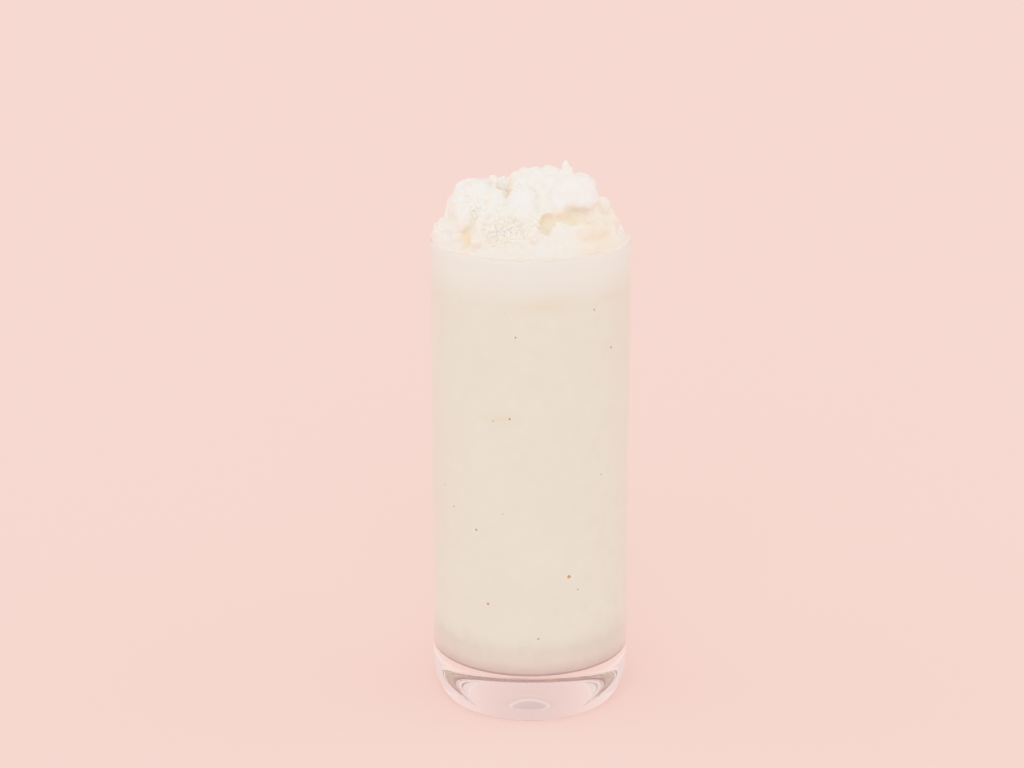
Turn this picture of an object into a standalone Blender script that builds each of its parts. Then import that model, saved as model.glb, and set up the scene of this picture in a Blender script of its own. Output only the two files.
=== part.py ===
"""A lychee smoothie in the straight tumbler it is served in, heaped with icy slush above the rim.

Metres, +Z up. The origin is the centre of the tumbler's base, on the surface it stands on, and -Y is the
side that faces the viewer. The tumbler, the drink that fills it and the heaped slush are three solids.
"""

import math

import bmesh
import bpy
from mathutils import Matrix, Vector

MM = 0.001

# Driving sizes of the tumbler
GLASS_RADIUS = 32.5 * MM
GLASS_HEIGHT = 155.0 * MM
RIM_THICKNESS = 1.5 * MM
LOW_WALL_THICKNESS = 1.8 * MM
FLOOR_THICKNESS = 15.5 * MM
FLOOR_CORNER = 6.0 * MM
FOOT_HEIGHT = 14.0 * MM
FOOT_RADIUS = 28.3 * MM
FOOT_POWER = 2.5
HOLLOW_RADIUS = 24.0 * MM
HOLLOW_DEPTH = 2.0 * MM
DIMPLE_RADIUS = 6.0 * MM
DIMPLE_DEPTH = 0.8 * MM

# Driving sizes of what fills it
CONTACT_GAP = 0.3 * MM
SLUSH_DEPTH_IN_GLASS = 7.0 * MM
SLUSH_RADIUS_OVER_RIM = 32.1 * MM
SLUSH_ROOM_HEIGHT = 45.0 * MM
MOUND_HEIGHT = 15.5 * MM
MOUND_RADIUS = 30.6 * MM
MOUND_BLUNTNESS = 4.5
BACK_LUMPS = 34
BACK_LUMP_RADIUS = 4.4 * MM
BACK_LUMPS_START = 8.0 * MM
GOLDEN_ANGLE = 137.5

# How finely round shapes are divided
TURN_STEPS = 48
ARC_STEPS = 5
MERGE_DISTANCE = 0.02 * MM
MOUND_POINTS = 16
SLUSH_VOXEL = 0.9 * MM
HOLLOW_VOXEL = 1.4 * MM
SLUSH_KEPT_FACES = 0.13
SMOOTH_TURNS = 3


def clear_scene():
    """Takes every object out of the open scene."""
    for thing in list(bpy.data.objects):
        bpy.data.objects.remove(thing, do_unlink=True)


def new_collection(name):
    """Adds a collection to the scene."""
    made = bpy.data.collections.new(name)
    bpy.context.scene.collection.children.link(made)
    return made


def material(name, colour, roughness, transmission=0.0):
    """Makes a Principled material, never metallic."""
    made = bpy.data.materials.new(name)
    made.use_nodes = True
    shader = made.node_tree.nodes["Principled BSDF"]
    shader.inputs["Base Color"].default_value = (*colour, 1.0)
    shader.inputs["Roughness"].default_value = roughness
    shader.inputs["Metallic"].default_value = 0.0
    shader.inputs["Transmission Weight"].default_value = transmission
    return made


def arc(centre, radius, start, end, steps):
    """Points (radius out, height) along an arc from one angle to another, both ends included."""
    angles = [math.radians(start + (end - start) * step / steps) for step in range(steps + 1)]
    return [(centre[0] + radius * math.cos(a), centre[1] + radius * math.sin(a)) for a in angles]


def inner_radius(height):
    """The tumbler's inner radius at a height: the wall thins evenly from its floor to its rim."""
    share = (height - FLOOR_THICKNESS) / (GLASS_HEIGHT - FLOOR_THICKNESS)
    return GLASS_RADIUS - LOW_WALL_THICKNESS + (LOW_WALL_THICKNESS - RIM_THICKNESS) * share


def turned(name, profile, collection, smooth_angle=35.0):
    """Turns a profile of (radius, height) points about Z. It runs down the shape's outer side."""
    mesh = bpy.data.meshes.new(name)
    edges = [(i, i + 1) for i in range(len(profile) - 1)]
    mesh.from_pydata([(r, 0.0, z) for r, z in profile], edges, [])
    made = bpy.data.objects.new(name, mesh)
    collection.objects.link(made)
    screw = made.modifiers.new("turn", "SCREW")
    screw.axis = "Z"
    screw.angle = math.tau
    screw.steps = TURN_STEPS
    screw.render_steps = TURN_STEPS
    screw.use_merge_vertices = True
    screw.merge_threshold = MERGE_DISTANCE
    screw.use_smooth_shade = True
    mesh.set_sharp_from_angle(angle=math.radians(smooth_angle))
    return made


def foot_points(steps):
    """The outer foot, top to bottom: it draws in from the wall as a power of the depth below it."""
    points = []
    for step in range(steps + 1):
        share = step / steps
        drawn_in = (GLASS_RADIUS - FOOT_RADIUS) * share**FOOT_POWER
        points.append((GLASS_RADIUS - drawn_in, FOOT_HEIGHT * (1.0 - share)))
    return points


def underside_height(out):
    """How far the underside is above the table: a wide shallow hollow with a dimple in its middle."""
    hollow = HOLLOW_DEPTH * max(0.0, 1.0 - (out / HOLLOW_RADIUS) ** 2)
    dimple = DIMPLE_DEPTH * max(0.0, 1.0 - (out / DIMPLE_RADIUS) ** 2)
    return hollow + dimple


def underside_points(steps):
    """The underside, from the hollow's edge in to the axis."""
    outs = [HOLLOW_RADIUS + (DIMPLE_RADIUS - HOLLOW_RADIUS) * step / steps for step in range(steps)]
    outs += [DIMPLE_RADIUS * (1.0 - step / steps) for step in range(steps + 1)]
    return [(out, underside_height(out)) for out in outs]


def floor_corner(radius, floor, corner):
    """The rounded corner between a level floor and an upright wall, from the floor outwards."""
    return arc((radius - corner, floor + corner), corner, -90.0, 0.0, ARC_STEPS)


def build_glass(collection):
    """The tumbler: thick base that is hollow below, rounded foot, thin wall, round rim."""
    rim = RIM_THICKNESS / 2.0
    rim_centre = (GLASS_RADIUS - rim, GLASS_HEIGHT - rim)
    profile = [(0.0, FLOOR_THICKNESS)]
    profile += floor_corner(inner_radius(FLOOR_THICKNESS), FLOOR_THICKNESS, FLOOR_CORNER)
    profile += arc(rim_centre, rim, 180.0, 0.0, ARC_STEPS)
    profile += foot_points(ARC_STEPS)
    profile += underside_points(ARC_STEPS)
    glass = turned("glass", profile, collection)
    glass.data.materials.append(material("clear_glass", (0.95, 0.97, 0.96), 0.02, transmission=1.0))
    return glass


def build_smoothie(collection):
    """The drink below the slush: a plug that fills the tumbler from its floor, just clear of the glass."""
    top = GLASS_HEIGHT - SLUSH_DEPTH_IN_GLASS - CONTACT_GAP
    floor = FLOOR_THICKNESS + CONTACT_GAP
    profile = [(0.0, top), (inner_radius(top) - CONTACT_GAP, top)]
    side = inner_radius(FLOOR_THICKNESS) - CONTACT_GAP
    profile += reversed(floor_corner(side, floor, FLOOR_CORNER))
    profile += [(0.0, floor)]
    smoothie = turned("smoothie", profile, collection)
    smoothie.data.materials.append(material("pale_smoothie", (0.82, 0.74, 0.63), 0.35))
    return smoothie


def above_rim(x, y, z):
    """A place given in millimetres from the middle of the rim."""
    return Vector((x * MM, y * MM, GLASS_HEIGHT + z * MM))


def add_ball(shape, centre, radii):
    """Adds a ball, or an egg where its three radii differ."""
    made = bmesh.ops.create_icosphere(shape, subdivisions=3, radius=1.0)
    place = Matrix.Translation(centre) @ Matrix.Diagonal((*radii, 1.0))
    bmesh.ops.transform(shape, matrix=place, verts=made["verts"])


def add_ridge(shape, start, end, first_radius, last_radius, hollow_in=1.0):
    """Adds a row of balls from start to end, their radii running to the last one along a curve.

    A power hollow_in above 1 draws the sides in, as on a peak pulled up from wet slush.
    """
    steps = max(2, math.ceil((end - start).length / (0.35 * min(first_radius, 3.0 * last_radius))))
    for step in range(steps + 1):
        share = step / steps
        radius = last_radius + (first_radius - last_radius) * (1.0 - share) ** hollow_in
        add_ball(shape, start.lerp(end, share), (radius, radius, radius))


def mound_height(out):
    """The mound's height over the rim at a distance out from its middle: flat on top and steep outside."""
    return MOUND_HEIGHT * (1.0 - (out / MOUND_RADIUS) ** MOUND_BLUNTNESS)


def add_mound(shape, collection):
    """Adds the heap's core: a blunt mound on a plug in the tumbler's mouth."""
    ends = (MOUND_RADIUS * 1.1, MOUND_POINTS)
    outs = [ends[0] * math.sqrt(step / ends[1]) for step in range(ends[1] + 1)]
    profile = [(out, GLASS_HEIGHT + mound_height(out)) for out in outs]
    foot = GLASS_HEIGHT - 2.0 * SLUSH_DEPTH_IN_GLASS
    profile += [(outs[-1], foot), (0.0, foot)]
    core = turned("mound", profile, collection)
    graph = bpy.context.evaluated_depsgraph_get()
    mesh = bpy.data.meshes.new_from_object(core.evaluated_get(graph))
    shape.from_mesh(mesh)
    bpy.data.meshes.remove(mesh)
    bpy.data.objects.remove(core, do_unlink=True)


def add_left_lumps(shape):
    """The broad left hump, its tongue and thin ridge, and the nub that stands on its right."""
    add_ball(shape, above_rim(-17.4, -1.5, 9.6), (9.3 * MM, 13.5 * MM, 10.7 * MM))
    add_ball(shape, above_rim(-12.0, -9.5, 11.8), (6.4 * MM, 7.0 * MM, 6.0 * MM))
    add_ball(shape, above_rim(-24.8, -3.0, 2.5), (6.6 * MM, 9.5 * MM, 5.4 * MM))
    add_ridge(shape, above_rim(-20.6, -14.0, 11.5), above_rim(-20.9, -17.6, 8.6), 3.2 * MM, 2.2 * MM)
    add_ridge(shape, above_rim(-14.6, -18.6, 10.6), above_rim(-16.7, -23.2, 3.6), 2.0 * MM, 1.7 * MM)
    add_ridge(shape, above_rim(-11.9, -5.0, 14.0), above_rim(-11.9, -4.0, 20.3), 2.2 * MM, 1.2 * MM)


def add_middle_lumps(shape):
    """The flat-topped middle hump, the smooth lobe down its front, and the small bumps beside them."""
    add_ball(shape, above_rim(-2.2, -1.5, 16.2), (5.6 * MM, 9.5 * MM, 7.3 * MM))
    add_ball(shape, above_rim(1.8, -1.5, 16.4), (5.4 * MM, 9.0 * MM, 7.2 * MM))
    add_ridge(shape, above_rim(-2.8, -12.5, 14.2), above_rim(-2.0, -21.8, 9.6), 4.7 * MM, 3.3 * MM)
    add_ridge(shape, above_rim(4.2, -9.0, 15.0), above_rim(4.8, -16.5, 13.6), 3.8 * MM, 2.4 * MM)
    add_ball(shape, above_rim(5.4, -1.0, 21.6), (2.3 * MM, 2.3 * MM, 2.2 * MM))
    add_ball(shape, above_rim(8.2, -2.5, 20.6), (3.0 * MM, 3.5 * MM, 2.8 * MM))
    add_ball(shape, above_rim(6.4, -6.5, 18.6), (3.2 * MM, 4.0 * MM, 3.2 * MM))
    add_ball(shape, above_rim(1.0, -25.6, 6.2), (2.7 * MM, 2.5 * MM, 2.5 * MM))
    add_ball(shape, above_rim(-8.5, -20.5, 8.0), (4.2 * MM, 4.4 * MM, 4.2 * MM))
    add_ball(shape, above_rim(12.0, -22.0, 1.6), (9.0 * MM, 5.0 * MM, 3.2 * MM))


def add_right_lumps(shape):
    """The smooth lump that overhangs, its sharp peak, the ledge below it and the right slope's bumps."""
    add_ball(shape, above_rim(13.4, -10.8, 17.2), (7.0 * MM, 7.4 * MM, 5.5 * MM))
    add_ball(shape, above_rim(13.9, -12.2, 14.9), (7.6 * MM, 7.2 * MM, 3.6 * MM))
    add_ball(shape, above_rim(8.8, -14.6, 14.2), (3.0 * MM, 3.2 * MM, 2.6 * MM))
    add_ball(shape, above_rim(16.0, -2.0, 15.8), (4.6 * MM, 6.0 * MM, 5.6 * MM))
    add_ridge(shape, above_rim(11.2, -5.0, 20.4), above_rim(11.0, -3.5, 26.5), 4.0 * MM, 0.4 * MM, 1.2)
    add_ridge(shape, above_rim(8.4, -23.0, 6.2), above_rim(15.8, -20.6, 6.3), 2.6 * MM, 2.6 * MM)
    add_ridge(shape, above_rim(15.8, -20.6, 6.3), above_rim(22.4, -13.8, 6.2), 2.6 * MM, 2.2 * MM)
    add_ball(shape, above_rim(21.8, -3.0, 10.6), (3.6 * MM, 4.6 * MM, 3.6 * MM))
    add_ball(shape, above_rim(24.0, -7.0, 6.4), (3.8 * MM, 4.4 * MM, 3.6 * MM))


def add_back_lumps(shape):
    """The side away from the viewer: lumps a golden angle apart on the mound, their sizes swinging."""
    for index in range(BACK_LUMPS):
        turn = math.radians(GOLDEN_ANGLE) * index
        swing = math.sin(2.3 * index + 0.7)
        out = MOUND_RADIUS * (0.25 + 0.62 * math.sqrt(index / BACK_LUMPS))
        x = out * math.cos(turn)
        y = out * math.sin(turn)
        if y < BACK_LUMPS_START:
            continue
        radius = BACK_LUMP_RADIUS * (1.0 + 0.3 * swing)
        centre = Vector((x, y, GLASS_HEIGHT + mound_height(out) - 0.55 * radius))
        add_ball(shape, centre, (radius, radius, radius * (1.0 + 0.2 * swing)))


def slush_mesh(collection):
    """The mound and all its lumps in one mesh, still lapping over each other."""
    shape = bmesh.new()
    add_mound(shape, collection)
    add_left_lumps(shape)
    add_middle_lumps(shape)
    add_right_lumps(shape)
    add_back_lumps(shape)
    mesh = bpy.data.meshes.new("slush_crown")
    shape.to_mesh(mesh)
    shape.free()
    return mesh


def build_hollows(cutters):
    """Cutter: the deep hollow under the overhanging lump, and the small one at the left."""
    shape = bmesh.new()
    add_ridge(shape, above_rim(5.2, -21.2, 10.0), above_rim(13.0, -19.5, 10.3), 2.2 * MM, 2.4 * MM)
    add_ridge(shape, above_rim(13.0, -19.5, 10.3), above_rim(22.8, -13.0, 9.8), 2.4 * MM, 1.7 * MM)
    add_ridge(shape, above_rim(5.2, -21.2, 10.0), above_rim(4.0, -24.4, 7.6), 2.2 * MM, 1.7 * MM)
    add_ball(shape, above_rim(-20.4, -20.4, 5.0), (2.0 * MM, 3.6 * MM, 3.2 * MM))
    mesh = bpy.data.meshes.new("hollows")
    shape.to_mesh(mesh)
    shape.free()
    hollows = bpy.data.objects.new("hollows", mesh)
    cutters.objects.link(hollows)
    joined = hollows.modifiers.new("one body", "REMESH")
    joined.mode = "VOXEL"
    joined.voxel_size = HOLLOW_VOXEL
    return hollows


def build_slush_room(cutters):
    """Cutter: the room the slush may fill, clear of the wall inside the tumbler and wider above the rim."""
    floor = GLASS_HEIGHT - SLUSH_DEPTH_IN_GLASS
    step = GLASS_HEIGHT + CONTACT_GAP
    inside = inner_radius(floor) - CONTACT_GAP
    roof = GLASS_HEIGHT + SLUSH_ROOM_HEIGHT
    profile = [
        (0.0, roof),
        (SLUSH_RADIUS_OVER_RIM, roof),
        (SLUSH_RADIUS_OVER_RIM, step),
        (inside, step),
        (inside, floor),
        (0.0, floor),
    ]
    return turned("slush_room", profile, cutters)


def cut(thing, name, cutter, operation):
    """Adds a live Boolean to a solid and hides its cutter."""
    boolean = thing.modifiers.new(name, "BOOLEAN")
    boolean.operation = operation
    boolean.object = cutter
    cutter.hide_render = True
    cutter.display_type = "WIRE"


def build_slush(collection, cutters):
    """The heap: overlapping lumps made one skin, softened and thinned, then hollowed and cut to its room."""
    slush = bpy.data.objects.new("slush_crown", slush_mesh(cutters))
    collection.objects.link(slush)
    skin = slush.modifiers.new("one skin", "REMESH")
    skin.mode = "VOXEL"
    skin.voxel_size = SLUSH_VOXEL
    soften = slush.modifiers.new("soften", "SMOOTH")
    soften.factor = 0.5
    soften.iterations = SMOOTH_TURNS
    thin = slush.modifiers.new("fewer faces", "DECIMATE")
    thin.ratio = SLUSH_KEPT_FACES
    cut(slush, "hollows", build_hollows(cutters), "DIFFERENCE")
    cut(slush, "room", build_slush_room(cutters), "INTERSECT")
    slush.data.shade_smooth()
    slush.data.materials.append(material("icy_slush", (0.88, 0.83, 0.76), 0.45))
    return slush


clear_scene()
parts = new_collection("lychee_smoothie")
cutter_shapes = new_collection("cutters")
build_glass(parts)
build_smoothie(parts)
build_slush(parts, cutter_shapes)
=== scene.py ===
"""The looks of a lychee smoothie in a straight tumbler, heaped with icy slush.

Metres, +Z up, the tumbler's base on z = 0 and -Y towards the viewer. The heap is worked out in
millimetres from the middle of the rim, as its lumps were measured.
"""

import math

import bpy
import numpy as np
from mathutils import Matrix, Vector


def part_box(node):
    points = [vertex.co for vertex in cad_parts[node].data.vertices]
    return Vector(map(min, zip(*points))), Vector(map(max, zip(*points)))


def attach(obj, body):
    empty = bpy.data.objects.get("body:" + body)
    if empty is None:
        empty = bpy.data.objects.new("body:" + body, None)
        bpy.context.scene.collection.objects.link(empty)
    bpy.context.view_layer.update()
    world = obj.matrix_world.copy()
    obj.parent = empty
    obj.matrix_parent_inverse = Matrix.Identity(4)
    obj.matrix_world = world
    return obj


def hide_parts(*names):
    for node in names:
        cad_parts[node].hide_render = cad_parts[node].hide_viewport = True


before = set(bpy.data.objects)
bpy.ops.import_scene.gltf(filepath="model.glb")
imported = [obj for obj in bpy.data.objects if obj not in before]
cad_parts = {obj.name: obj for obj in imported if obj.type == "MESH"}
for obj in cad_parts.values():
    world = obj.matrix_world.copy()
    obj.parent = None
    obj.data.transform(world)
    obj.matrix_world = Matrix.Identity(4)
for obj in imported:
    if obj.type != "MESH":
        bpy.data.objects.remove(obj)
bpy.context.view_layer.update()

# The viewer stands a little above the rim and looks down on the tumbler, which is
# a touch right of the middle of the picture. The lens is long, so the wall hardly tapers.
PICTURE_WIDTH = 1024
FOCAL_PIXELS = 2200.0
LOOK_DOWN = math.radians(15.63)
TUMBLER_RIGHT_OF_MIDDLE = 19.2
VIEWER_AWAY = 0.6925
VIEWER_HEIGHT = 0.3003
SENSOR_WIDTH = 36.0

camera_data = bpy.data.cameras.new("viewer")
camera_data.sensor_width = SENSOR_WIDTH
camera_data.lens = FOCAL_PIXELS / PICTURE_WIDTH * SENSOR_WIDTH
camera_data.clip_start = 0.01
camera = bpy.data.objects.new("viewer", camera_data)
camera.location = (0.0, -VIEWER_AWAY, VIEWER_HEIGHT)
camera.rotation_euler = (math.pi / 2 - LOOK_DOWN, 0.0, math.atan(TUMBLER_RIGHT_OF_MIDDLE / FOCAL_PIXELS))
bpy.context.collection.objects.link(camera)
bpy.context.scene.camera = camera
bpy.context.scene.view_settings.view_transform = "Khronos PBR Neutral"

# The table is one plain pale pink surface that runs far past the picture.
# It is matt, painted board: a wide disc with a little tooth.
TABLE_RADIUS = 9.0
TABLE_DROP = 0.0001
TABLE_SIDES = 96
TABLE_COLOUR = (0.87, 0.668, 0.618)


def add_mesh(name, points, faces, smooth=True):
    """Makes an object at the origin from an array of points and a list of faces."""
    mesh = bpy.data.meshes.new(name)
    mesh.from_pydata(points.tolist(), [], [list(map(int, face)) for face in faces])
    mesh.polygons.foreach_set("use_smooth", np.full(len(mesh.polygons), smooth))
    mesh.update()
    made = bpy.data.objects.new(name, mesh)
    bpy.context.collection.objects.link(made)
    return made


def new_material(name):
    """Makes a Principled material and returns it with its nodes, its links and its shader."""
    made = bpy.data.materials.new(name)
    made.use_nodes = True
    nodes = made.node_tree.nodes
    return made, nodes, made.node_tree.links, nodes["Principled BSDF"]


def noise_on_object(nodes, links, scale, detail, roughness=0.5):
    """A noise texture that reads Object coordinates; scale is in waves to the metre."""
    place = nodes.new("ShaderNodeTexCoord")
    noise = nodes.new("ShaderNodeTexNoise")
    noise.inputs["Scale"].default_value = scale
    noise.inputs["Detail"].default_value = detail
    noise.inputs["Roughness"].default_value = roughness
    links.new(place.outputs["Object"], noise.inputs["Vector"])
    return noise.outputs["Fac"]


def ramp(nodes, links, source, stops):
    """A colour ramp on a value; stops are (place, (red, green, blue))."""
    made = nodes.new("ShaderNodeValToRGB")
    for index, (place, colour) in enumerate(stops):
        if index > 1:
            made.color_ramp.elements.new(place)
        made.color_ramp.elements[index].position = place
        made.color_ramp.elements[index].color = (*colour, 1.0)
    links.new(source, made.inputs["Fac"])
    return made.outputs["Color"]


def bump(nodes, links, height, distance, strength):
    """A bump from a height value; distance is its depth in metres."""
    made = nodes.new("ShaderNodeBump")
    made.inputs["Distance"].default_value = distance
    made.inputs["Strength"].default_value = strength
    links.new(height, made.inputs["Height"])
    return made.outputs["Normal"]


def shade(colour, share):
    """A colour made lighter or darker by a share."""
    return tuple(min(1.0, part * share) for part in colour)


def table_top():
    """A disc: each ring's points are its radius times (cos, sin) of even turns."""
    turns = np.linspace(0.0, 2.0 * np.pi, TABLE_SIDES, endpoint=False)
    ring = np.stack([np.cos(turns), np.sin(turns), np.zeros_like(turns)], axis=1)
    return ring * TABLE_RADIUS - np.array([0.0, 0.0, TABLE_DROP])


table = add_mesh("table", table_top(), [range(TABLE_SIDES)], smooth=False)
board, nodes, links, shader = new_material("pink_board")
tooth = noise_on_object(nodes, links, 900.0, 3.0)
links.new(ramp(nodes, links, tooth, [(0.3, shade(TABLE_COLOUR, 0.99)), (0.7, shade(TABLE_COLOUR, 1.01))]),
          shader.inputs["Base Color"])
shader.inputs["Roughness"].default_value = 0.8
shader.inputs["Specular IOR Level"].default_value = 0.2
links.new(bump(nodes, links, tooth, 0.0001, 0.3), shader.inputs["Normal"])
table.data.materials.append(board)

# The light is a white studio that glows more from its two sides and is pink low down and
# behind the tumbler, with one very soft lamp at the front.
GLOW = 0.93
SIDE_GLOW = 2.45
STUDIO_PINK = (0.935, 0.695, 0.655)
STUDIO_WHITE = (1.0, 0.985, 0.97)
AWAY_FROM_PINK = (0.0, -0.85, 0.53)
PINK_ENDS = -0.3
WHITE_STARTS = -0.02
LAMP_POWER = 1.6
LAMP_WIDTH = math.radians(50.0)
LAMP_TILT = math.radians(60.0)
LAMP_TURN = math.radians(-5.0)
LIGHT_BOUNCES = 24


def mix_colour(nodes, links, share, first, second):
    """Mixes two colours, either of them a socket or a fixed colour, by a share."""
    made = nodes.new("ShaderNodeMix")
    made.data_type = "RGBA"
    links.new(share, made.inputs["Factor"])
    for socket, colour in ((made.inputs[6], first), (made.inputs[7], second)):
        if isinstance(colour, tuple):
            socket.default_value = (*colour, 1.0)
        else:
            links.new(colour, socket)
    return made.outputs[2]


def fit_range(nodes, links, value, low, high, start=0.0, end=1.0):
    """Maps a value from one range to another and holds it at the ends."""
    made = nodes.new("ShaderNodeMapRange")
    for name, number in (("From Min", low), ("From Max", high), ("To Min", start), ("To Max", end)):
        made.inputs[name].default_value = number
    links.new(value, made.inputs["Value"])
    return made.outputs["Result"]


world = bpy.data.worlds.new("studio")
world.use_nodes = True
nodes = world.node_tree.nodes
links = world.node_tree.links
heading = nodes.new("ShaderNodeTexCoord")
from_pink = nodes.new("ShaderNodeVectorMath")
from_pink.operation = "DOT_PRODUCT"
from_pink.inputs[1].default_value = AWAY_FROM_PINK
links.new(heading.outputs["Generated"], from_pink.inputs[0])
whiteness = fit_range(nodes, links, from_pink.outputs["Value"], PINK_ENDS, WHITE_STARTS)
studio_colour = mix_colour(nodes, links, whiteness, STUDIO_PINK, STUDIO_WHITE)
links.new(studio_colour, nodes["Background"].inputs["Color"])
sideways = nodes.new("ShaderNodeSeparateXYZ")
links.new(heading.outputs["Generated"], sideways.inputs["Vector"])
squared = nodes.new("ShaderNodeMath")
squared.operation = "MULTIPLY"
links.new(sideways.outputs["X"], squared.inputs[0])
links.new(sideways.outputs["X"], squared.inputs[1])
links.new(fit_range(nodes, links, squared.outputs["Value"], 0.0, 1.0, GLOW, SIDE_GLOW),
          nodes["Background"].inputs["Strength"])
bpy.context.scene.world = world

lamp_data = bpy.data.lights.new("soft_lamp", "SUN")
lamp_data.energy = LAMP_POWER
lamp_data.angle = LAMP_WIDTH
lamp = bpy.data.objects.new("soft_lamp", lamp_data)
lamp.rotation_euler = (LAMP_TILT, 0.0, LAMP_TURN)
bpy.context.collection.objects.link(lamp)
bpy.context.scene.cycles.max_bounces = LIGHT_BOUNCES
bpy.context.scene.cycles.diffuse_bounces = LIGHT_BOUNCES
bpy.context.scene.cycles.glossy_bounces = LIGHT_BOUNCES
bpy.context.scene.cycles.transmission_bounces = LIGHT_BOUNCES

# The tumbler is clear glass pressed in one piece: a thick base with a wide shallow hollow and
# a dimple below, a foot that draws in, a thin wall and a fire-polished round rim. Its skin is
# one section turned about the axis.
GLASS_RADIUS = 0.0325
GLASS_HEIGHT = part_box("glass")[1][2]
RIM_THICKNESS = 0.0015
LOW_WALL_THICKNESS = 0.0018
FLOOR_THICKNESS = 0.0155
FLOOR_CORNER = 0.006
FOOT_HEIGHT = 0.014
FOOT_RADIUS = 0.0283
FOOT_POWER = 2.5
FOOT_EDGE = 0.0006
HOLLOW_RADIUS = 0.024
HOLLOW_DEPTH = 0.002
DIMPLE_RADIUS = 0.006
DIMPLE_DEPTH = 0.0008
GLASS_TURNS = 240
GLASS_TINT = (0.99, 0.995, 0.99)
SMEAR_ROUGHNESS = 0.04


def arc(centre, radius, start, end, steps):
    """Points (radius out, height) along an arc between two angles in degrees, both included."""
    angles = np.radians(np.linspace(start, end, steps + 1))
    return np.stack([centre[0] + radius * np.cos(angles), centre[1] + radius * np.sin(angles)], axis=1)


def inner_radius(height):
    """The tumbler's inner radius: the wall thins evenly from its floor to its rim."""
    share = (height - FLOOR_THICKNESS) / (GLASS_HEIGHT - FLOOR_THICKNESS)
    return GLASS_RADIUS - LOW_WALL_THICKNESS + (LOW_WALL_THICKNESS - RIM_THICKNESS) * share


def ring_faces(rings, turns):
    """The faces of a closed skin whose points run ring by ring, then its two end points.

    Quads join each ring to the next, and a fan of triangles closes each end.
    """
    here = np.arange(turns)
    after = (here + 1) % turns
    row = np.arange(rings - 1)[:, None] * turns
    sides = np.stack([row + here, row + turns + here, row + turns + after, row + after], axis=2)
    first_end = np.full(turns, rings * turns)
    last_row = (rings - 1) * turns
    first_fan = np.stack([first_end, here, after], axis=1)
    last_fan = np.stack([first_end + 1, last_row + after, last_row + here], axis=1)
    return [*sides.reshape(-1, 4), *first_fan, *last_fan]


def turn(profile, turns):
    """A closed turned skin: every profile point (radius, height) times (cos, sin) of even turns.

    The first and last points lie on the axis and become single points.
    """
    angles = np.linspace(0.0, 2.0 * np.pi, turns, endpoint=False)
    rings = profile[1:-1]
    x = rings[:, :1] * np.cos(angles)
    y = rings[:, :1] * np.sin(angles)
    z = np.broadcast_to(rings[:, 1:], x.shape)
    ends = np.array([[0.0, 0.0, profile[0][1]], [0.0, 0.0, profile[-1][1]]])
    points = np.concatenate([np.stack([x, y, z], axis=2).reshape(-1, 3), ends])
    return points, ring_faces(len(rings), turns)


def underside_height(out):
    """How far the underside is above the table: a wide parabola, and a small one in its middle."""
    hollow = HOLLOW_DEPTH * np.maximum(0.0, 1.0 - (out / HOLLOW_RADIUS) ** 2)
    dimple = DIMPLE_DEPTH * np.maximum(0.0, 1.0 - (out / DIMPLE_RADIUS) ** 2)
    return hollow + dimple


def tumbler_profile():
    """The tumbler's section, from the middle of its inner floor over the rim to its hollow underside."""
    rim = RIM_THICKNESS / 2.0
    inside = inner_radius(FLOOR_THICKNESS)
    floor_out = np.linspace(0.0, inside - FLOOR_CORNER, 9)[:-1]
    floor = np.stack([floor_out, np.full(len(floor_out), FLOOR_THICKNESS)], axis=1)
    corner = arc((inside - FLOOR_CORNER, FLOOR_THICKNESS + FLOOR_CORNER), FLOOR_CORNER, -90.0, 0.0, 16)
    heights = np.linspace(FLOOR_THICKNESS + FLOOR_CORNER, GLASS_HEIGHT - rim, 24)[1:-1]
    inner_wall = np.stack([inner_radius(heights), heights], axis=1)
    round_rim = arc((GLASS_RADIUS - rim, GLASS_HEIGHT - rim), rim, 180.0, 0.0, 14)
    outer_heights = np.linspace(GLASS_HEIGHT - rim, FOOT_HEIGHT, 24)[1:-1]
    outer_wall = np.stack([np.full(len(outer_heights), GLASS_RADIUS), outer_heights], axis=1)
    share = np.linspace(0.0, 1.0, 33)
    drawn_in = (GLASS_RADIUS - FOOT_RADIUS) * share**FOOT_POWER
    foot = np.stack([GLASS_RADIUS - drawn_in, FOOT_HEIGHT * (1.0 - share)], axis=1)
    foot = foot[foot[:, 1] > FOOT_EDGE]
    edge = arc((FOOT_RADIUS - FOOT_EDGE * 0.6, FOOT_EDGE), FOOT_EDGE, -20.0, -90.0, 6)
    out = np.linspace(FOOT_RADIUS - FOOT_EDGE * 1.6, 0.0, 72)
    under = np.stack([out, underside_height(out)], axis=1)
    return np.concatenate([floor, corner, inner_wall, round_rim, outer_wall, foot, edge, under])


tumbler = add_mesh("tumbler", *turn(tumbler_profile(), GLASS_TURNS))
clear, nodes, links, shader = new_material("clear_pressed_glass")
shader.inputs["Base Color"].default_value = (*GLASS_TINT, 1.0)
shader.inputs["Transmission Weight"].default_value = 1.0
shader.inputs["IOR"].default_value = 1.5
smear = noise_on_object(nodes, links, 60.0, 4.0)
links.new(fit_range(nodes, links, smear, 0.55, 0.8, 0.0, SMEAR_ROUGHNESS), shader.inputs["Roughness"])
tumbler.data.materials.append(clear)
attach(tumbler, "root")
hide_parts("glass")

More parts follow.
